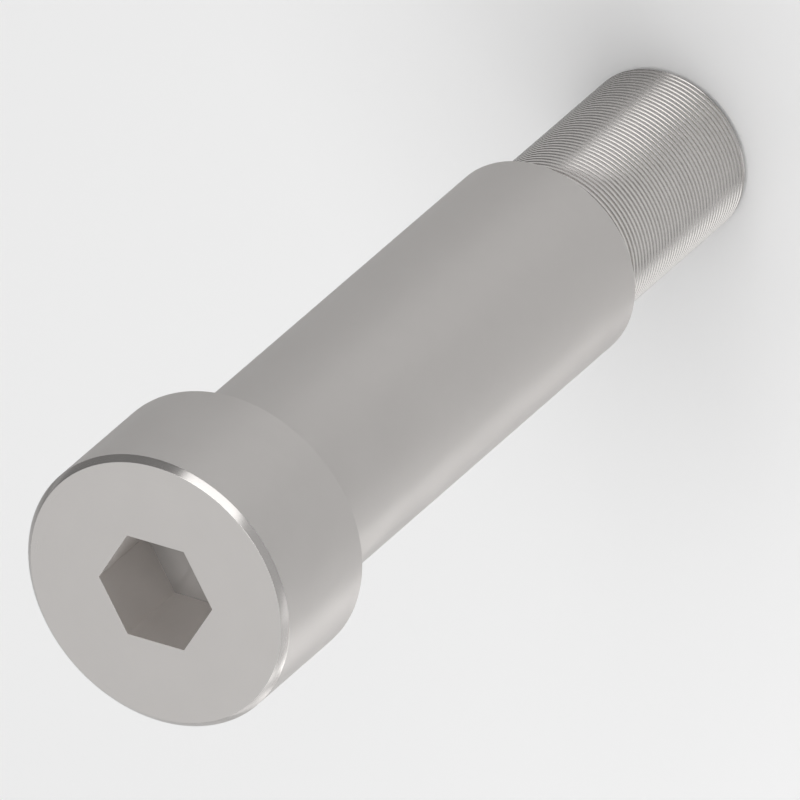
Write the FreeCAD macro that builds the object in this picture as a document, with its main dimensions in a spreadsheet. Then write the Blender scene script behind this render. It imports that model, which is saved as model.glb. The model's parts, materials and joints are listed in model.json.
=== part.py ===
"""Shoulder bolt: head with a hexagon socket, ground shoulder, threaded end, all one steel piece.

The bolt stands on its threaded end with the head up. The origin is the centre of the thread's
end face and +Z runs along the bolt towards the head. Lengths are in millimetres.

The thread is modelled as a plain cylinder at its major diameter: its ridges are only half a
millimetre apart. Both ends of the shoulder have a relief, so that the thread and the ground
shoulder can be finished up to their faces.
"""
import FreeCAD, Part
import os
import Sketcher

NODE = "shoulder_bolt"

# Driving sizes: value and what it measures
SIZES = {
    "head_diameter": (25.4, "outside of the round head"),
    "head_height": (12.7, "seat under the head to the top face"),
    "head_chamfer": (0.508, "45 degree chamfer round the top face"),
    "shoulder_diameter": (19.0, "ground shoulder that the mating hole turns on"),
    "shoulder_length": (51.87, "seat under the head to the end face of the shoulder"),
    "seat_relief_width": (1.6, "relief at the top of the shoulder, along the bolt"),
    "seat_relief_depth": (0.23, "relief at the top of the shoulder, below its surface"),
    "seat_relief_fillet": (0.5, "radius from that relief to the seat under the head"),
    "thread_diameter": (15.875, "major diameter of the thread"),
    "thread_length": (22.225, "end face of the shoulder to the end of the bolt"),
    "thread_chamfer": (0.508, "45 degree chamfer at the end of the thread"),
    "thread_relief_width": (1.5, "relief between shoulder and thread, along the bolt"),
    "thread_relief_depth": (0.4, "relief between shoulder and thread, below the ridges"),
    "thread_relief_fillet": (0.6, "radius from that relief to the shoulder's end face"),
    "socket_across_flats": (9.525, "hexagon socket, flat to opposite flat"),
    "socket_depth": (7.87, "hexagon socket, top face to its floor"),
}

# Heights of the three faces square to the bolt, measured from its threaded end
SHOULDER_END = "sizes.thread_length"
HEAD_SEAT = "(sizes.thread_length + sizes.shoulder_length)"
HEAD_TOP = "(sizes.thread_length + sizes.shoulder_length + sizes.head_height)"

# Radii of the three diameters
HEAD_RADIUS = "(sizes.head_diameter / 2)"
SHOULDER_RADIUS = "(sizes.shoulder_diameter / 2)"
THREAD_RADIUS = "(sizes.thread_diameter / 2)"

# Indexes by which a sketch's constraints name the points of a line or circle, and its own axes
START_INDEX = 1
END_INDEX = 2
CENTRE_INDEX = 3
ORIGIN_INDEX = -1
X_AXIS_INDEX = -1
Y_AXIS_INDEX = -2

# The property that holds the size of each kind of edge finish
FINISH_SIZES = {"Chamfer": "Size", "Fillet": "Radius"}

HEXAGON_SIDES = 6
FULL_TURN = 360.0


def make_sizes(doc):
    """Spreadsheet with one row for each driving size: its name, value and meaning."""
    sheet = doc.addObject("Spreadsheet::Sheet", "sizes")
    for row, (name, (value, meaning)) in enumerate(SIZES.items(), start=1):
        sheet.set(f"A{row}", name)
        sheet.set(f"B{row}", str(value))
        sheet.set(f"C{row}", meaning)
        sheet.setAlias(f"B{row}", name)
    doc.recompute()


def add_sketch(body, name, plane_role):
    """Empty sketch flat on one of the body's own origin planes."""
    planes = [plane for plane in body.Origin.OriginFeatures if plane.Role == plane_role]
    sketch = body.newObject("Sketcher::SketchObject", name)
    sketch.AttachmentSupport = [(planes[0], "")]
    sketch.MapMode = "FlatFace"
    return sketch


def constrain(sketch, kind, *references):
    """Add one constraint between points or lines of a sketch and return its index."""
    return sketch.addConstraint(Sketcher.Constraint(kind, *references))


def dimension(sketch, kind, references, name, expression):
    """Add one named dimension to a sketch and tie it to the sizes."""
    start_value = 1.0
    index = constrain(sketch, kind, *references, start_value)
    sketch.renameConstraint(index, name)
    sketch.setExpression(f"Constraints.{name}", expression)


def add_outline(body, name, corners):
    """Half section in the XZ plane: straight lines through corners (name, radius, height).

    Each corner's radius and height are expressions on the sizes, or None where it lies on an axis.
    """
    sketch = add_sketch(body, name, "XZ_Plane")
    points = []
    for corner, radius, height in corners:
        across = sketch.evalExpression(radius or "0")
        along = sketch.evalExpression(height or "0")
        points.append(FreeCAD.Vector(across, along, 0))
    for point, following in zip(points, points[1:] + points[:1]):
        sketch.addGeometry(Part.LineSegment(point, following), False)
    for line in range(len(corners)):
        joined = (line + 1) % len(corners)
        constrain(sketch, "Coincident", line, END_INDEX, joined, START_INDEX)
    for line, (corner, radius, height) in enumerate(corners):
        from_origin = (ORIGIN_INDEX, START_INDEX, line, START_INDEX)
        if radius is None:
            constrain(sketch, "PointOnObject", line, START_INDEX, Y_AXIS_INDEX)
        else:
            dimension(sketch, "DistanceX", from_origin, f"{corner}_radius", radius)
        if height is None:
            constrain(sketch, "PointOnObject", line, START_INDEX, X_AXIS_INDEX)
        else:
            dimension(sketch, "DistanceY", from_origin, f"{corner}_height", height)
    return sketch


def add_turned_blank(body):
    """Thread, shoulder and head turned from one bar: a stepped half section round the Z axis."""
    outline = add_outline(body, "turned_outline", [
        ("end_centre", None, None),
        ("thread_end", THREAD_RADIUS, None),
        ("thread_root", THREAD_RADIUS, SHOULDER_END),
        ("shoulder_end", SHOULDER_RADIUS, SHOULDER_END),
        ("shoulder_top", SHOULDER_RADIUS, HEAD_SEAT),
        ("head_seat", HEAD_RADIUS, HEAD_SEAT),
        ("head_rim", HEAD_RADIUS, HEAD_TOP),
        ("head_centre", None, HEAD_TOP),
    ])
    blank = body.newObject("PartDesign::Revolution", "turned_blank")
    blank.Profile = outline
    blank.ReferenceAxis = (outline, ["V_Axis"])
    blank.Angle = FULL_TURN
    return blank


def add_relief(body, name, neck, core, collar, face):
    """Groove of width and depth name_width and name_depth, cut in the core up to a square face.

    It runs out to the core's surface at 45 degrees on the side away from the face.
    """
    width = f"sizes.{name}_width"
    depth = f"sizes.{name}_depth"
    outline = add_outline(body, f"{name}_outline", [
        ("neck_face", neck, face),
        ("collar_face", collar, face),
        ("collar_side", collar, f"{face} - {width}"),
        ("core_side", core, f"{face} - {width}"),
        ("neck_side", neck, f"{face} - {width} + {depth}"),
    ])
    relief = body.newObject("PartDesign::Groove", name)
    relief.Profile = outline
    relief.ReferenceAxis = (outline, ["V_Axis"])
    relief.Angle = FULL_TURN
    return relief


def rim_edge(shape, radius, height):
    """Name of the circular edge round the Z axis with this radius, at this height."""
    for number, edge in enumerate(shape.Edges, start=1):
        if not isinstance(edge.Curve, Part.Circle):
            continue
        same_radius = abs(edge.Curve.Radius - radius) < Part.Precision.confusion()
        same_height = abs(edge.Curve.Center.z - height) < Part.Precision.confusion()
        if same_radius and same_height:
            return f"Edge{number}"
    raise ValueError(f"no rim with radius {radius} at height {height}")


def add_rim_finish(body, kind, name, radius, height):
    """45 degree Chamfer or Fillet on a rim round the Z axis, as large as the size of its name."""
    base = body.Tip
    rim = rim_edge(base.Shape, base.evalExpression(radius), base.evalExpression(height))
    finish = body.newObject(f"PartDesign::{kind}", name)
    finish.Base = (base, [rim])
    finish.setExpression(FINISH_SIZES[kind], f"sizes.{name}")
    return finish


def add_hexagon_socket(body):
    """Hexagon socket in the head: two corners on the X axis, flat floor, cut down from the top."""
    sketch = add_sketch(body, "hexagon_outline", "XY_Plane")
    sketch.setExpression("AttachmentOffset.Base.z", HEAD_TOP)
    circle = Part.Circle(FreeCAD.Vector(), FreeCAD.Vector(0, 0, 1), 1.0)
    corners = [FreeCAD.Vector(*circle.value(side * circle.LastParameter / HEXAGON_SIDES))
               for side in range(HEXAGON_SIDES)]
    for corner, following in zip(corners, corners[1:] + corners[:1]):
        sketch.addGeometry(Part.LineSegment(corner, following), False)
    corner_circle = sketch.addGeometry(circle, True)
    constrain(sketch, "Coincident", corner_circle, CENTRE_INDEX, ORIGIN_INDEX, START_INDEX)
    for side in range(HEXAGON_SIDES):
        joined = (side + 1) % HEXAGON_SIDES
        constrain(sketch, "Coincident", side, END_INDEX, joined, START_INDEX)
        constrain(sketch, "PointOnObject", side, START_INDEX, corner_circle)
        if joined:
            constrain(sketch, "Equal", side, joined)
    first_side = 0
    constrain(sketch, "PointOnObject", first_side, START_INDEX, X_AXIS_INDEX)
    corner_radius = "sizes.socket_across_flats / sqrt(3)"
    dimension(sketch, "Radius", (corner_circle,), "corner_radius", corner_radius)
    socket = body.newObject("PartDesign::Pocket", "hexagon_socket")
    socket.Profile = sketch
    socket.setExpression("Length", "sizes.socket_depth")
    return socket


def recompute_and_check(doc):
    """Recompute the document and stop if any object failed."""
    doc.recompute()
    failed = [item.Name for item in doc.Objects if "Invalid" in item.State or "Error" in item.State]
    if failed:
        raise RuntimeError(f"failed objects: {failed}")


def settle(feature, volume_before, adds_metal=False):
    """Recompute, stop if the feature didn't change the metal as it should, and return its volume."""
    recompute_and_check(feature.Document)
    gained = feature.Shape.Volume - volume_before
    if gained == 0 or adds_metal != (gained > 0):
        raise RuntimeError(f"{feature.Name} changed the volume by {gained}")
    return feature.Shape.Volume


def make_shoulder_bolt(doc):
    """The whole bolt as one body."""
    body = doc.addObject("PartDesign::Body", NODE)
    body.Label = NODE
    blank = add_turned_blank(body)
    recompute_and_check(doc)
    volume = blank.Shape.Volume

    seat_neck = f"({SHOULDER_RADIUS} - sizes.seat_relief_depth)"
    relief = add_relief(body, "seat_relief", seat_neck, SHOULDER_RADIUS, HEAD_RADIUS, HEAD_SEAT)
    volume = settle(relief, volume)
    fillet = add_rim_finish(body, "Fillet", "seat_relief_fillet", seat_neck, HEAD_SEAT)
    volume = settle(fillet, volume, adds_metal=True)

    thread_neck = f"({THREAD_RADIUS} - sizes.thread_relief_depth)"
    relief = add_relief(
        body, "thread_relief", thread_neck, THREAD_RADIUS, SHOULDER_RADIUS, SHOULDER_END)
    volume = settle(relief, volume)
    fillet = add_rim_finish(body, "Fillet", "thread_relief_fillet", thread_neck, SHOULDER_END)
    volume = settle(fillet, volume, adds_metal=True)

    chamfer = add_rim_finish(body, "Chamfer", "head_chamfer", HEAD_RADIUS, HEAD_TOP)
    volume = settle(chamfer, volume)
    chamfer = add_rim_finish(body, "Chamfer", "thread_chamfer", THREAD_RADIUS, "0")
    volume = settle(chamfer, volume)

    settle(add_hexagon_socket(body), volume)
    body.Placement = FreeCAD.Placement()
    return body


def export(bodies):
    """Write each body's solid to parts/LABEL.step."""
    for body in bodies:
        shape = body.Shape
        if shape.isNull() or not shape.isValid() or len(shape.Solids) != 1:
            raise RuntimeError(f"{body.Label} is not one valid solid")
    os.makedirs("parts", exist_ok=True)
    for body in bodies:
        body.Shape.exportStep(f"parts/{body.Label}.step")
        box = body.Shape.BoundBox
        print(f"{body.Label}: {box.XLength:.3f} x {box.YLength:.3f} x {box.ZLength:.3f} mm, "
              f"{body.Shape.Volume:.1f} mm3")


def main():
    doc = FreeCAD.newDocument("shoulder_bolt_model")
    make_sizes(doc)
    bolt = make_shoulder_bolt(doc)
    recompute_and_check(doc)
    export([bolt])


main()
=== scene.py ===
"""Shoulder bolt of stainless steel: one closed surface with its hexagon socket and fine thread.

The file is laid out as an add-on and is run as a script. Lengths are in metres, in the frame of
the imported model: the bolt stands on its threaded end at the origin and +Z runs to the head.
"""
import json
import math

import bpy
import numpy as np
from bpy.props import FloatProperty, FloatVectorProperty, IntProperty, PointerProperty
from bpy.types import Operator, Panel, PropertyGroup
from mathutils import Matrix, Vector


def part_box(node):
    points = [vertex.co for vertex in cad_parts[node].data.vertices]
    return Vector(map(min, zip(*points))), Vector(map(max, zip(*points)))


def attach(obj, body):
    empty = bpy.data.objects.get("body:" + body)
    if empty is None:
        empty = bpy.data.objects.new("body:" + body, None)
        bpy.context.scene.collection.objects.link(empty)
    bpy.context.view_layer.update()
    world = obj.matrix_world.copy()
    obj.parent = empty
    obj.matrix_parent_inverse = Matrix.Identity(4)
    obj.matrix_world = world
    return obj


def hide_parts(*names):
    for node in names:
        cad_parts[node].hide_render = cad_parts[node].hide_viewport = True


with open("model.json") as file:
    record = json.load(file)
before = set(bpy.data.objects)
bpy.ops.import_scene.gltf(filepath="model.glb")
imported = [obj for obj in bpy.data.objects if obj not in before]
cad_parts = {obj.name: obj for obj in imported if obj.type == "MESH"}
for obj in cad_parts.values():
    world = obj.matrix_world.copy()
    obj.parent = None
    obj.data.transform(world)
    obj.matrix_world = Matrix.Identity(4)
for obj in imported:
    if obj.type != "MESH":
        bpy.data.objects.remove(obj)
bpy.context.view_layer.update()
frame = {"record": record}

bl_info = {
    "name": "Shoulder bolt",
    "version": (1, 0, 0),
    "blender": (4, 5, 0),
    "location": "3D View > Sidebar > Bolt",
    "description": "Makes a socket-head shoulder bolt with a fine thread, and a plain studio round it",
    "category": "Add Mesh",
}

NODE = "shoulder_bolt"
PIECE = "shoulder_bolt_steel"
MM = 0.001
MICRON = 0.000001

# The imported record's mounts, by name, and its one node's box
MOUNTS = {mount["name"]: mount for mount in frame["record"]["mounts"]}
NODE_LOW, NODE_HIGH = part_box(NODE)

# Finishes of the bolt's zones, in the order of its material slots
FACED, CHAMFERED, TURNED, GROUND, THREADED, BROACHED, DRILLED = range(7)

# Shapes of a ring of the bolt's surface
ROUND, HEXAGON = range(2)

# Faces that meet at a larger angle have a crease between them
CREASE_ANGLE = math.radians(40)

# Half the angle between the flanks of a groove
HALF_GROOVE_ANGLE = math.radians(30)


def mount_radius(name):
    """Radius of a round mount, in metres."""
    return MOUNTS[name]["dims"]["r_mm"] * MM


def mount_height(name, end=0.0):
    """Height of a mount's point, or with end -1 or 1 that of the lower or upper end of its wall."""
    half_length = MOUNTS[name]["dims"].get("length_mm", 0.0) * MM / 2
    return MOUNTS[name]["pos_m"][2] + end * half_length


def length(name, description, default):
    """A length property, shown in the scene's units."""
    return FloatProperty(name=name, description=description, default=default, min=0.0,
                         precision=5, unit="LENGTH", subtype="DISTANCE")


def angle(name, description, degrees):
    """An angle property, shown in degrees."""
    return FloatProperty(name=name, description=description, default=math.radians(degrees),
                         unit="ROTATION", subtype="ANGLE")


def share(name, description, default):
    """A property between 0 and 1."""
    return FloatProperty(name=name, description=description, default=default, min=0.0, max=1.0,
                         subtype="FACTOR")


def level(name, description, default):
    """A property from 0 up: a brightness, where 1 is white, or a multiple of a colour."""
    return FloatProperty(name=name, description=description, default=default, min=0.0)


def colour(name, description, default):
    """A colour property."""
    return FloatVectorProperty(name=name, description=description, default=default, min=0.0,
                               max=1.0, subtype="COLOR")


class BoltSizes(PropertyGroup):
    """Sizes of the bolt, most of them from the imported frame."""
    head_radius: length("Head radius", "Outside of the head", min(NODE_HIGH.x, NODE_HIGH.y))
    bolt_height: length("Height", "Threaded end to top of the head", NODE_HIGH.z)
    head_chamfer: length("Head chamfer", "Chamfer round the head's top face", 0.508 * MM)
    seat_height: length("Seat height", "Underside of the head", mount_height("head_seat"))
    seat_relief_height: length("Seat relief height", "Where the shoulder ends below its relief",
                               mount_height("shoulder", 1))
    seat_relief_depth: length("Seat relief depth", "Relief below the shoulder's surface",
                              0.23 * MM)
    seat_relief_fillet: length("Seat relief fillet", "Radius under the head", 0.5 * MM)
    shoulder_radius: length("Shoulder radius", "Ground shoulder", mount_radius("shoulder"))
    shoulder_end_height: length("Shoulder end", "Lower end face of the shoulder",
                                mount_height("shoulder_end"))
    thread_radius: length("Thread radius", "Crests of the thread", mount_radius("thread"))
    thread_chamfer: length("Thread chamfer", "Chamfer at the threaded end",
                           mount_height("thread", -1))
    thread_relief_height: length("Thread relief height",
                                 "Where the thread ends below its relief",
                                 mount_height("thread", 1))
    thread_relief_depth: length("Thread relief depth", "Relief below the crests", 0.4 * MM)
    thread_relief_fillet: length("Thread relief fillet", "Radius at the shoulder's end face",
                                 0.6 * MM)
    thread_pitch: length("Thread pitch", "Distance from ridge to ridge", 0.508 * MM)
    crest_width: length("Crest width", "Flat top of a ridge", 0.25 * MM)
    root_width: length("Root width", "Flat bottom of a groove", 0.06 * MM)
    socket_across_flats: length("Socket across flats", "Hexagon socket", 9.525 * MM)
    socket_depth: length("Socket depth", "Top face to the socket's floor", 7.87 * MM)
    edge_radius: length("Edge radius", "Rounding of the edges", 0.03 * MM)
    socket_edge_radius: length("Socket edge radius", "Rounding at the socket's mouth and floor",
                               0.015 * MM)
    columns: IntProperty(name="Columns", description="Points round the bolt, a multiple of six",
                         default=180, min=36, max=360)


class BoltFinish(PropertyGroup):
    """Colour and gloss of the steel."""
    steel_colour: colour("Steel", "Reflected colour of the steel", (0.572, 0.552, 0.537))
    grazing_tint: share("Grazing tint", "How much of its gloss the steel keeps at its edges", 0.75)
    grain_stretch: share("Grain stretch", "How far the marks round the bolt spread a highlight",
                         0.9)
    faced_roughness: share("Faced roughness", "End faces", 0.30)
    chamfer_roughness: share("Chamfer roughness", "Chamfers at both ends", 0.20)
    turned_roughness: share("Turned roughness", "Round faces cut on a lathe", 0.38)
    ground_roughness: share("Ground roughness", "The ground shoulder", 0.38)
    threaded_roughness: share("Thread roughness", "Flanks and crests", 0.22)
    broached_roughness: share("Socket roughness", "Walls cut by the broach", 0.55)
    # Painted light: the socket's walls take the steel's colour times this, lighter than the steel
    # itself.
    broached_painted_light: level("Socket lightness", "Of the steel's colour on the walls", 1.55)
    drilled_roughness: share("Drilled roughness", "Floor of the socket", 0.55)
    # Painted shade: the socket's floor takes the steel's colour times this, darker than the steel
    # itself.
    drilled_painted_shade: level("Drilled lightness", "Of the steel's colour on the floor", 0.52)


class StudioSettings(PropertyGroup):
    """Floor, light and camera."""
    floor_colour: colour("Floor", "Colour of the pale floor", (0.9, 0.9, 0.9))
    floor_radius: length("Floor radius", "Reach of the round floor", 1.5)
    dome_level: level("Dome", "Brightness of the room", 0.25)
    distance_level: level("Distance", "Brightness below the horizon, beyond the floor", 0.7)
    top_level: level("Top softbox", "Light straight above the bolt", 4.8)
    back_level: level("Back softbox", "Seen in the head's face", 0.67)
    window_level: level("Window softbox", "Seen in the head's chamfer", 1.6)
    high_level: level("High softbox", "Seen in the thread's flanks", 1.5)
    fill_level: level("Fill softbox", "Wide faint light on the camera's side", 0.32)
    right_level: level("Right softbox", "Main light on the bolt's bright side", 0.92)
    side_level: level("Side softbox", "Wide faint light below the right one", 0.55)
    low_level: level("Low softbox", "Strip just above the floor on that side", 0.8)
    near_level: level("Near softbox", "Small light close to the bolt on that side", 2.9)
    azimuth: angle("Azimuth", "Place of the camera round the bolt", 19.1)
    elevation: angle("Elevation", "Camera's angle above the horizon", 48.59)
    roll: angle("Roll", "Turn of the camera about its line of sight", 229.107)
    half_view: angle("Half view", "Half the camera's angle of view", 0.65)


# Shape of the bolt

def flank_width(sizes):
    """Width of a flank along the bolt: half of what crest and root leave of the pitch."""
    return (sizes.thread_pitch - sizes.crest_width - sizes.root_width) / 2


def thread_depth(sizes):
    """Depth of a groove: the width of its flank over the tangent of half the groove's angle."""
    return flank_width(sizes) / math.tan(HALF_GROOVE_ANGLE)


def end_section(sizes):
    """Corners from the centre of the threaded end's face to the foot of the thread's grooves.

    A corner is its radius, height and rounding, the shape of its ring, and the finish of the
    surface that follows it.
    """
    end_radius = sizes.thread_radius - sizes.thread_chamfer
    root_radius = sizes.thread_radius - thread_depth(sizes)
    return [
        (0.0, 0.0, 0.0, ROUND, FACED),
        (end_radius, 0.0, sizes.edge_radius, ROUND, CHAMFERED),
        (root_radius, root_radius - end_radius, 0.0, ROUND, THREADED),
    ]


def upper_section(sizes):
    """Corners from the top of the thread's grooves, up the bolt and down to the socket's floor."""
    edge = sizes.edge_radius
    depth = thread_depth(sizes)
    thread_neck = sizes.thread_radius - sizes.thread_relief_depth
    thread_neck_height = sizes.thread_relief_height + sizes.thread_relief_depth
    seat_neck = sizes.shoulder_radius - sizes.seat_relief_depth
    seat_neck_height = sizes.seat_relief_height + sizes.seat_relief_depth
    face_radius = sizes.head_radius - sizes.head_chamfer
    top = sizes.bolt_height
    floor = top - sizes.socket_depth
    flat = sizes.socket_across_flats / 2
    return [
        (sizes.thread_radius - depth, sizes.thread_relief_height + depth, 0.0, ROUND, TURNED),
        (thread_neck, thread_neck_height, edge, ROUND, TURNED),
        (thread_neck, sizes.shoulder_end_height, sizes.thread_relief_fillet, ROUND, TURNED),
        (sizes.shoulder_radius, sizes.shoulder_end_height, edge, ROUND, GROUND),
        (sizes.shoulder_radius, sizes.seat_relief_height, edge, ROUND, TURNED),
        (seat_neck, seat_neck_height, edge, ROUND, TURNED),
        (seat_neck, sizes.seat_height, sizes.seat_relief_fillet, ROUND, TURNED),
        (sizes.head_radius, sizes.seat_height, edge, ROUND, TURNED),
        (sizes.head_radius, top - sizes.head_chamfer, edge, ROUND, CHAMFERED),
        (face_radius, top, edge, ROUND, FACED),
        (flat, top, sizes.socket_edge_radius, HEXAGON, BROACHED),
        (flat, floor, sizes.socket_edge_radius, HEXAGON, DRILLED),
        (0.0, floor, 0.0, HEXAGON, DRILLED),
    ]


def rounded_rows(corners, arc_steps=4):
    """Radius, height, shape and finish of the rows that carry a section with rounded corners.

    A corner's arc leaves its lines at rounding * tan(half the turn) from the corner. Its points
    blend the two ends and the corner as (1 - t)^2, t^2 and 2 t (1 - t), with t from 0 to 1.
    """
    rows = []
    for index, (radius, height, rounding, shape, finish) in enumerate(corners):
        if rounding == 0.0:
            rows.append((radius, height, shape, finish))
            continue
        here = Vector((radius, height))
        back = (Vector(corners[index - 1][:2]) - here).normalized()
        ahead = (Vector(corners[index + 1][:2]) - here).normalized()
        reach = rounding / math.tan(back.angle(ahead) / 2)
        finish_before = corners[index - 1][4]
        for step in range(arc_steps + 1):
            t = step / arc_steps
            point = here + (1 - t) ** 2 * reach * back + t ** 2 * reach * ahead
            rows.append((*point, shape, finish_before if t < 0.5 else finish))
    return [np.array(values) for values in zip(*rows)]


def ring_points(radius, height, shape, columns):
    """Points of the rows. Each row is a ring round Z, with its points at equal steps of the angle a.

    A round ring has the radius r. A hexagon whose flats lie r from its centre has the radius
    r / cos(a - m), with m the direction of the nearest flat's middle; two of its corners lie on X.
    """
    turn = np.linspace(0.0, 2 * math.pi, columns, endpoint=False)
    sixth = math.pi / 3
    hexagon = 1 / np.cos(np.mod(turn, sixth) - sixth / 2)
    reach = radius[:, None] * np.where(shape[:, None] == HEXAGON, hexagon, 1.0)
    rise = np.broadcast_to(height[:, None], reach.shape)
    return np.stack([reach * np.cos(turn), reach * np.sin(turn), rise], axis=-1)


def ring_numbers(first, rows, columns):
    """Point numbers of rows of rings, with each ring's first point once more at its end."""
    numbers = first + np.arange(rows * columns).reshape(rows, columns)
    return np.concatenate([numbers, numbers[:, :1]], axis=1)


def thread_section(sizes):
    """Height above the ridge's start and depth below the crests, along one pitch of the thread.

    Crest, flank, root and flank follow each other, each straight from corner to corner.
    """
    crest = sizes.crest_width
    flank = flank_width(sizes)
    heights = np.array([0.0, crest, crest + flank, sizes.thread_pitch - flank])
    depths = np.array([0.0, 0.0, 1.0, 1.0]) * thread_depth(sizes)
    return heights, depths


def thread_surface(sizes, low_ring, high_ring, first):
    """Points and grid of point numbers of the right-hand thread.

    Step m of the helix stands at the angle 2 pi m / columns and carries one pitch of the section,
    risen by pitch * m / columns. The radius is the least of the section's, the end chamfer's cone
    and the relief's cone. Points below the thread's foot or above its top are those of the rings
    that close it there: the helix starts whole turns below its foot, and its last step is at or
    above its top.
    """
    columns = sizes.columns
    heights, depths = thread_section(sizes)
    deepest = thread_depth(sizes)
    foot = sizes.thread_chamfer - deepest
    top = sizes.thread_relief_height + deepest
    turns_below = 2
    steps = math.ceil(((top - foot) / sizes.thread_pitch + turns_below) * columns) + 1
    step = np.arange(steps + columns)
    rise = foot + sizes.thread_pitch * (step / columns - turns_below)
    height = rise[:, None] + heights
    end_cone = sizes.thread_radius - sizes.thread_chamfer + height
    relief_cone = sizes.thread_radius + sizes.thread_relief_height - height
    radius = np.minimum(sizes.thread_radius - depths, np.minimum(end_cone, relief_cone))
    column = step % columns
    turn = 2 * math.pi * column[:, None] / columns
    points = np.stack([radius * np.cos(turn), radius * np.sin(turn), height], axis=-1)
    numbers = first + np.arange(height.size).reshape(height.shape)
    numbers = np.where(height <= foot, low_ring[column][:, None], numbers)
    numbers = np.where(height >= top, high_ring[column][:, None], numbers)
    grid = np.concatenate([numbers[:steps], numbers[columns:, :1]], axis=1)
    return points.reshape(-1, 3), grid.T


def grid_faces(numbers):
    """Four-sided faces between the rows and columns of a grid of point numbers."""
    corners = [numbers[:-1, :-1], numbers[:-1, 1:], numbers[1:, 1:], numbers[1:, :-1]]
    return np.stack(corners, axis=-1).reshape(-1, 4)


def bolt_surface(sizes):
    """Points of the whole bolt, its four-sided faces and their finishes."""
    columns = sizes.columns
    lower = rounded_rows(end_section(sizes))
    upper = rounded_rows(upper_section(sizes))
    lower_points = ring_points(*lower[:3], columns).reshape(-1, 3)
    upper_points = ring_points(*upper[:3], columns).reshape(-1, 3)
    lower_grid = ring_numbers(0, len(lower[0]), columns)
    upper_grid = ring_numbers(len(lower_points), len(upper[0]), columns)
    thread_points, thread_grid = thread_surface(
        sizes, lower_grid[-1], upper_grid[0], len(lower_points) + len(upper_points))
    # The first and the last row are the centres of the end face and of the socket's floor
    lower_grid[0] = lower_grid[0, 0]
    upper_grid[-1] = upper_grid[-1, 0]
    points = np.concatenate([lower_points, upper_points, thread_points])
    faces = [grid_faces(grid) for grid in (lower_grid, upper_grid, thread_grid)]
    finishes = [
        np.repeat(lower[3][:-1], columns),
        np.repeat(upper[3][:-1], columns),
        np.full(len(faces[2]), THREADED),
    ]
    return points, np.concatenate(faces), np.concatenate(finishes)


def make_mesh(name, points, faces, finishes):
    """A mesh of faces that name four points each.

    A face has three sides where two neighbours are one point, and is left out where that happens
    twice.
    """
    repeated = faces == np.roll(faces, -1, axis=1)
    sides = 4 - repeated.sum(axis=1)
    kept = sides > 2
    corners = faces[kept][~repeated[kept]]
    sides = sides[kept]
    used, corners = np.unique(corners, return_inverse=True)
    mesh = bpy.data.meshes.new(name)
    mesh.vertices.add(len(used))
    mesh.vertices.foreach_set("co", points[used].astype(np.float32).ravel())
    mesh.loops.add(len(corners))
    mesh.loops.foreach_set("vertex_index", corners.astype(np.int32))
    mesh.polygons.add(len(sides))
    mesh.polygons.foreach_set("loop_start", (np.cumsum(sides) - sides).astype(np.int32))
    mesh.polygons.foreach_set("loop_total", sides.astype(np.int32))
    mesh.polygons.foreach_set("material_index", finishes[kept].astype(np.int32))
    mesh.update(calc_edges=True)
    if mesh.validate():
        raise RuntimeError(f"{name} has faults in its faces")
    mesh.shade_smooth()
    mesh.set_sharp_from_angle(angle=CREASE_ANGLE)
    return mesh


# Finishes of the bolt

# Weight of the distance from the axis in the rings of a lathe. At 1 a single ring would cover the
# head's chamfer, on which height and distance add up to the same.
RING_SLANT = 1.3

# Noise of a tool's marks, and of cloudy patches over them, about 250 to the metre. The marks count
# half as much as the patches, and the sum of both lies mostly within its range.
MARK_LAYERS = 3.0
MARK_FADE = 0.6
CLOUD_SCALE = 250.0
CLOUD_LAYERS = 2.0
MARK_SHARE = 0.5
NOISE_RANGE = (0.45, 1.05)

# How far the noise changes a finish's roughness, and its colour as a share of it
GLOSS_CHANGE = 0.03
COLOUR_CHANGE = 0.04

# Turn of a stretched highlight away from the direction round the axis, in whole turns
SPREAD_TURN = 0.25


def node(tree, kind, inputs=(), **settings):
    """A new node with its settings, and its inputs set to values or linked to sockets."""
    made = tree.nodes.new(kind)
    for name, value in settings.items():
        setattr(made, name, value)
    for name, value in dict(inputs).items():
        if isinstance(value, bpy.types.NodeSocket):
            tree.links.new(value, made.inputs[name])
        else:
            made.inputs[name].default_value = value
    return made


def new_material(name):
    """An empty node material and its tree."""
    material = bpy.data.materials.new(name)
    material.use_nodes = True
    material.node_tree.nodes.clear()
    return material, material.node_tree


def lathe_marks(tree, fineness, streak):
    """Coordinates in which noise becomes fine rings round the bolt.

    They are streak * x / r, streak * y / r and fineness * (z + slant * r), where r is the distance
    from the axis, so the marks are close together along the bolt and across its end faces.
    """
    place = node(tree, "ShaderNodeTexCoord").outputs["Object"]
    across = node(tree, "ShaderNodeVectorMath", {0: place, 1: (1.0, 1.0, 0.0)},
                  operation="MULTIPLY").outputs[0]
    outward = node(tree, "ShaderNodeVectorMath", {0: across}, operation="NORMALIZE").outputs[0]
    radius = node(tree, "ShaderNodeVectorMath", {0: across}, operation="LENGTH").outputs["Value"]
    height = node(tree, "ShaderNodeSeparateXYZ", {0: place}).outputs["Z"]
    along = node(tree, "ShaderNodeMath", {0: radius, 1: RING_SLANT, 2: height},
                 operation="MULTIPLY_ADD").outputs[0]
    rings = node(tree, "ShaderNodeCombineXYZ", {"Z": along}).outputs[0]
    fine_rings = node(tree, "ShaderNodeVectorMath", {0: rings, "Scale": fineness},
                      operation="SCALE").outputs[0]
    return node(tree, "ShaderNodeVectorMath", {0: outward, 1: (streak,) * 3, 2: fine_rings},
                operation="MULTIPLY_ADD").outputs[0]


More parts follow.
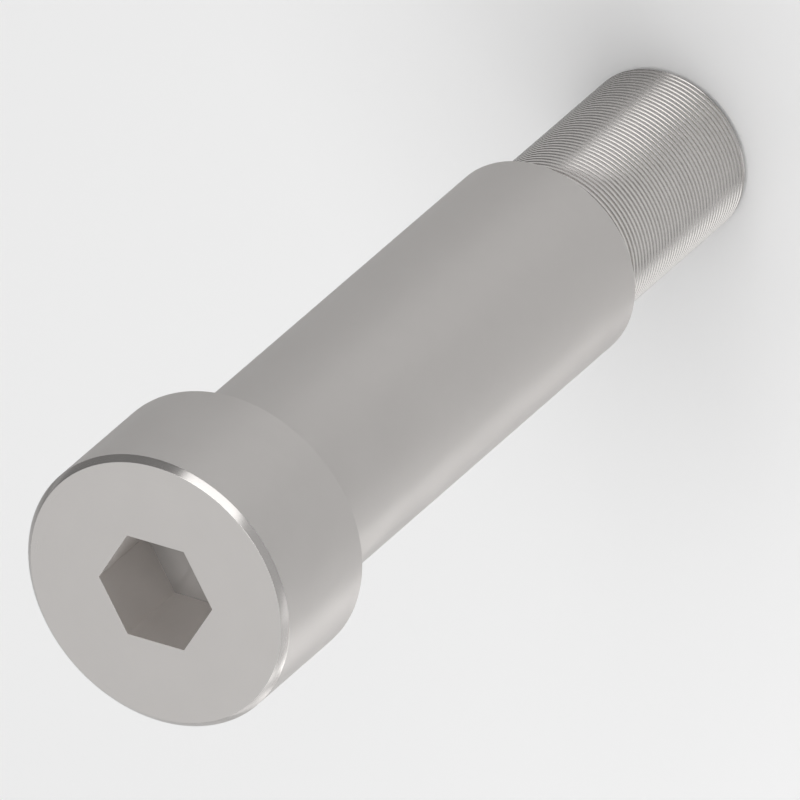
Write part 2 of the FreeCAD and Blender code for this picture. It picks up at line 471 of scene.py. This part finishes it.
def broach_marks(tree, fineness, streak):
    """Coordinates in which noise becomes fine lines along the socket's walls."""
    place = node(tree, "ShaderNodeTexCoord").outputs["Object"]
    return node(tree, "ShaderNodeVectorMath", {0: place, 1: (fineness, fineness, streak)},
                operation="MULTIPLY").outputs[0]


def direction_round(tree):
    """The direction round the bolt's axis: Z cross the place, turned to the scene's directions."""
    place = node(tree, "ShaderNodeTexCoord").outputs["Object"]
    around = node(tree, "ShaderNodeVectorMath", {0: (0.0, 0.0, 1.0), 1: place},
                  operation="CROSS_PRODUCT").outputs[0]
    turned = node(tree, "ShaderNodeVectorTransform", {0: around}, vector_type="VECTOR",
                  convert_from="OBJECT", convert_to="WORLD").outputs[0]
    return node(tree, "ShaderNodeVectorMath", {0: turned}, operation="NORMALIZE").outputs[0]


def steel(name, finish, roughness, stretch, marks, fineness, streak, depth, painted_light_factor=1.0):
    """Bare steel whose gloss and fine relief follow the marks left by the tool that cut it.

    The function marks lays them out: about fineness of them to the metre, each changing along its
    run as often as streak says. They are depth deep.
    """
    material, tree = new_material(name)
    # The colour is the steel's times a factor. Where that factor isn't 1, it paints light or shade
    # into the steel's colour.
    tint = [painted_light_factor * value for value in finish.steel_colour]
    place = node(tree, "ShaderNodeTexCoord").outputs["Object"]
    grain = node(tree, "ShaderNodeTexNoise",
                 {"Vector": marks(tree, fineness, streak), "Scale": 1.0, "Detail": MARK_LAYERS,
                  "Roughness": MARK_FADE}).outputs[0]
    cloud = node(tree, "ShaderNodeTexNoise",
                 {"Vector": place, "Scale": CLOUD_SCALE, "Detail": CLOUD_LAYERS}).outputs[0]
    mixed = node(tree, "ShaderNodeMath", {0: grain, 1: MARK_SHARE, 2: cloud},
                 operation="MULTIPLY_ADD").outputs[0]
    gloss = node(tree, "ShaderNodeMapRange",
                 {"Value": mixed, "From Min": NOISE_RANGE[0], "From Max": NOISE_RANGE[1],
                  "To Min": roughness - GLOSS_CHANGE, "To Max": roughness + GLOSS_CHANGE}).outputs[0]
    darker = [(1 - COLOUR_CHANGE) * value for value in tint]
    lighter = [(1 + COLOUR_CHANGE) * value for value in tint]
    shade = node(tree, "ShaderNodeMix",
                 {"Factor": mixed, "A": (*darker, 1.0), "B": (*lighter, 1.0)},
                 data_type="RGBA")
    relief = node(tree, "ShaderNodeBump",
                  {"Height": grain, "Strength": 1.0, "Distance": depth}).outputs[0]
    inputs = {"Base Color": shade.outputs[2], "Metallic": 1.0, "Roughness": gloss,
              "Specular Tint": (finish.grazing_tint,) * 3 + (1.0,), "Normal": relief}
    if stretch > 0.0:
        inputs["Anisotropic"] = stretch
        inputs["Anisotropic Rotation"] = SPREAD_TURN
        inputs["Tangent"] = direction_round(tree)
    surface = node(tree, "ShaderNodeBsdfPrincipled", inputs).outputs[0]
    node(tree, "ShaderNodeOutputMaterial", {"Surface": surface})
    return material


def bolt_finishes(finish):
    """The seven finishes, in the order of the surface's numbers."""
    stretch = finish.grain_stretch
    return [
        steel("faced_steel", finish, finish.faced_roughness, 0.0,
              lathe_marks, fineness=18000.0, streak=3.0, depth=0.2 * MICRON),
        steel("chamfered_steel", finish, finish.chamfer_roughness, 0.0,
              lathe_marks, fineness=18000.0, streak=3.0, depth=0.1 * MICRON),
        steel("fine_turned_steel", finish, finish.turned_roughness, stretch,
              lathe_marks, fineness=18000.0, streak=3.0, depth=0.2 * MICRON),
        steel("ground_shoulder_steel", finish, finish.ground_roughness, stretch,
              lathe_marks, fineness=30000.0, streak=12.0, depth=0.1 * MICRON),
        steel("threaded_steel", finish, finish.threaded_roughness, 0.0,
              lathe_marks, fineness=12000.0, streak=6.0, depth=0.05 * MICRON),
        # The socket's walls carry painted light: their colour is lighter than the steel's.
        steel("broached_socket_steel", finish, finish.broached_roughness, 0.0,
              broach_marks, fineness=12000.0, streak=400.0, depth=0.3 * MICRON,
              painted_light_factor=finish.broached_painted_light),
        # The socket's floor carries painted shade: its colour is darker than the steel's.
        steel("drilled_socket_steel", finish, finish.drilled_roughness, 0.0,
              lathe_marks, fineness=12000.0, streak=6.0, depth=0.1 * MICRON,
              painted_light_factor=finish.drilled_painted_shade),
    ]


# Studio

def view_axes(studio):
    """The camera's right, up and back directions: azimuth 0 looks along +Y, roll turns it after."""
    azimuth = studio.azimuth
    elevation = studio.elevation
    back = Vector((math.sin(azimuth) * math.cos(elevation),
                   -math.cos(azimuth) * math.cos(elevation), math.sin(elevation)))
    level_right = Vector((math.cos(azimuth), math.sin(azimuth), 0.0))
    level_up = back.cross(level_right)
    right = math.cos(studio.roll) * level_right + math.sin(studio.roll) * level_up
    return right, back.cross(right), back


def aimed(location, target):
    """A placement at location whose -Z points at target."""
    turn = (target - location).to_track_quat("-Z", "Y")
    return Matrix.Translation(location) @ turn.to_matrix().to_4x4()


# Where the picture shows the centre of the head's face, and its scale, in its 800 pixels. The
# photograph has it at (156.7, 592.15); the long lens still spreads the bolt's ends by 3 pixels.
PICTURE_PIXELS = 800
FACE_CENTRE_PIXEL = (158.1, 590.9)
PIXELS_PER_MM = 11.8

# Nearest and furthest distance that the camera sees
CAMERA_RANGE = (0.1, 10.0)


def make_camera(studio, sizes):
    """A long lens, far back, so that the view is all but parallel as in the photograph."""
    right, up, back = view_axes(studio)
    pixel = MM / PIXELS_PER_MM
    across = (FACE_CENTRE_PIXEL[0] - PICTURE_PIXELS / 2) * pixel
    down = (FACE_CENTRE_PIXEL[1] - PICTURE_PIXELS / 2) * pixel
    face_centre = Vector((0.0, 0.0, sizes.bolt_height))
    aim = face_centre - across * right + down * up
    middle = face_centre / 2
    aim -= (aim - middle).dot(back) * back
    distance = PICTURE_PIXELS * pixel / 2 / math.tan(studio.half_view)
    lens = bpy.data.cameras.new("studio_camera")
    lens.angle = 2 * studio.half_view
    lens.clip_start, lens.clip_end = CAMERA_RANGE
    camera = bpy.data.objects.new("studio_camera", lens)
    bpy.context.scene.collection.objects.link(camera)
    place = Matrix((right, up, back)).transposed().to_4x4()
    place.translation = aim + distance * back
    camera.matrix_world = place
    bpy.context.scene.camera = camera


# Each softbox: name, azimuth and elevation in degrees, and distance, width and height in metres
SOFTBOXES = (
    ("top", 0, 90, 0.6, 0.3, 0.3),
    ("back", 115, 55, 0.6, 0.35, 0.3),
    ("window", -44, 43, 0.6, 0.4, 0.25),
    ("high", -13, 62, 0.6, 0.24, 0.3),
    ("fill", -110, 48, 0.6, 0.8, 0.45),
    ("right", 160, 35, 0.6, 0.4, 0.4),
    ("side", 195, 20, 0.45, 0.6, 0.3),
    ("low", 150, 6, 0.4, 0.3, 0.08),
    ("near", 195, 12, 0.2, 0.08, 0.08),
)


def make_softbox(name, azimuth, elevation, distance, width, height, brightness):
    """A soft lamp aimed at the bolt's middle, from degrees round +Z from +X and above the floor.

    Its power is pi * area * brightness, which makes its face look that bright.
    """
    azimuth = math.radians(azimuth)
    elevation = math.radians(elevation)
    target = Vector((0.0, 0.0, NODE_HIGH.z / 2))
    outward = Vector((math.cos(azimuth) * math.cos(elevation),
                      math.sin(azimuth) * math.cos(elevation), math.sin(elevation)))
    lamp = bpy.data.lights.new(name, "AREA")
    lamp.shape = "RECTANGLE"
    lamp.size = width
    lamp.size_y = height
    lamp.energy = math.pi * width * height * brightness
    softbox = bpy.data.objects.new(name, lamp)
    bpy.context.scene.collection.objects.link(softbox)
    softbox.matrix_world = aimed(target + distance * outward, target)
    softbox.visible_camera = False


# Rings of the floor, as shares of its radius, and the points on each
FLOOR_RINGS = (0.0, 0.1, 0.4, 1.0)
FLOOR_COLUMNS = 96

# The room's light changes to that below the horizon within this rise of a direction, each way
HORIZON_BAND = 0.03


def make_floor(studio):
    """A round flat floor at the bolt's foot: rings of the radius r, all at the same height."""
    radius = studio.floor_radius * np.array(FLOOR_RINGS)
    height = np.full(len(radius), NODE_LOW.z)
    shape = np.full(len(radius), ROUND)
    points = ring_points(radius, height, shape, FLOOR_COLUMNS).reshape(-1, 3)
    numbers = ring_numbers(0, len(radius), FLOOR_COLUMNS)
    numbers[0] = numbers[0, 0]
    faces = grid_faces(numbers)[:, ::-1]
    floor = bpy.data.objects.new(
        "studio_floor", make_mesh("studio_floor", points, faces, np.zeros(len(faces))))
    bpy.context.scene.collection.objects.link(floor)
    material, tree = new_material("pale_floor_paint")
    surface = node(tree, "ShaderNodeBsdfDiffuse",
                   {"Color": (*studio.floor_colour, 1.0)}).outputs[0]
    node(tree, "ShaderNodeOutputMaterial", {"Surface": surface})
    floor.data.materials.append(material)


def make_dome(studio):
    """A plain even room light, paler below the horizon, where it carries the floor further out."""
    world = bpy.data.worlds.new("studio_dome")
    world.use_nodes = True
    tree = world.node_tree
    tree.nodes.clear()
    direction = node(tree, "ShaderNodeTexCoord").outputs["Generated"]
    rise = node(tree, "ShaderNodeSeparateXYZ", {0: direction}).outputs["Z"]
    brightness = node(tree, "ShaderNodeMapRange",
                      {"Value": rise, "From Min": -HORIZON_BAND, "From Max": HORIZON_BAND,
                       "To Min": studio.distance_level, "To Max": studio.dome_level}).outputs[0]
    surface = node(tree, "ShaderNodeBackground",
                   {"Color": (1.0, 1.0, 1.0, 1.0), "Strength": brightness}).outputs[0]
    node(tree, "ShaderNodeOutputWorld", {"Surface": surface})
    bpy.context.scene.world = world


class BOLT_OT_make_bolt(Operator):
    """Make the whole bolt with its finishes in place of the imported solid"""
    bl_idname = "bolt.make_bolt"
    bl_label = "Make bolt"

    def execute(self, context):
        sizes = context.scene.bolt_sizes
        if sizes.columns % 6:
            raise RuntimeError("The columns round the bolt aren't a multiple of six")
        piece = bpy.data.objects.new(PIECE, make_mesh(PIECE, *bolt_surface(sizes)))
        context.scene.collection.objects.link(piece)
        for material in bolt_finishes(context.scene.bolt_finish):
            piece.data.materials.append(material)
        flats = piece.modifiers.new("flat_faces_stay_flat", "WEIGHTED_NORMAL")
        flats.keep_sharp = True
        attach(piece, "root")
        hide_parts(NODE)
        return {"FINISHED"}


class BOLT_OT_make_stage(Operator):
    """Make the floor, the soft lights and the camera"""
    bl_idname = "bolt.make_stage"
    bl_label = "Make stage"

    def execute(self, context):
        scene = context.scene
        studio = scene.bolt_studio
        make_floor(studio)
        make_dome(studio)
        for name, *place in SOFTBOXES:
            make_softbox(f"{name}_softbox", *place, getattr(studio, f"{name}_level"))
        make_camera(studio, scene.bolt_sizes)
        scene.view_settings.view_transform = "Standard"
        return {"FINISHED"}


class BOLT_PT_sidebar(Panel):
    """Sizes, finishes and studio of the bolt, and the buttons that make them"""
    bl_idname = "BOLT_PT_sidebar"
    bl_label = "Shoulder bolt"
    bl_space_type = "VIEW_3D"
    bl_region_type = "UI"
    bl_category = "Bolt"

    def draw(self, context):
        scene = context.scene
        sections = (
            (scene.bolt_sizes, None),
            (scene.bolt_finish, BOLT_OT_make_bolt),
            (scene.bolt_studio, BOLT_OT_make_stage),
        )
        for settings, operator in sections:
            column = self.layout.column()
            for name in settings.__annotations__:
                column.prop(settings, name)
            if operator:
                column.operator(operator.bl_idname)


CLASSES = (BoltSizes, BoltFinish, StudioSettings, BOLT_OT_make_bolt, BOLT_OT_make_stage,
           BOLT_PT_sidebar)


def register():
    """Makes the settings, operators and panel known to Blender."""
    for item in CLASSES:
        bpy.utils.register_class(item)
    bpy.types.Scene.bolt_sizes = PointerProperty(type=BoltSizes)
    bpy.types.Scene.bolt_finish = PointerProperty(type=BoltFinish)
    bpy.types.Scene.bolt_studio = PointerProperty(type=StudioSettings)


def unregister():
    """Takes them back out."""
    del bpy.types.Scene.bolt_studio
    del bpy.types.Scene.bolt_finish
    del bpy.types.Scene.bolt_sizes
    for item in reversed(CLASSES):
        bpy.utils.unregister_class(item)


def main():
    """Makes the bolt and its stage."""
    register()
    bpy.ops.bolt.make_bolt()
    bpy.ops.bolt.make_stage()


if __name__ == "__main__":
    main()
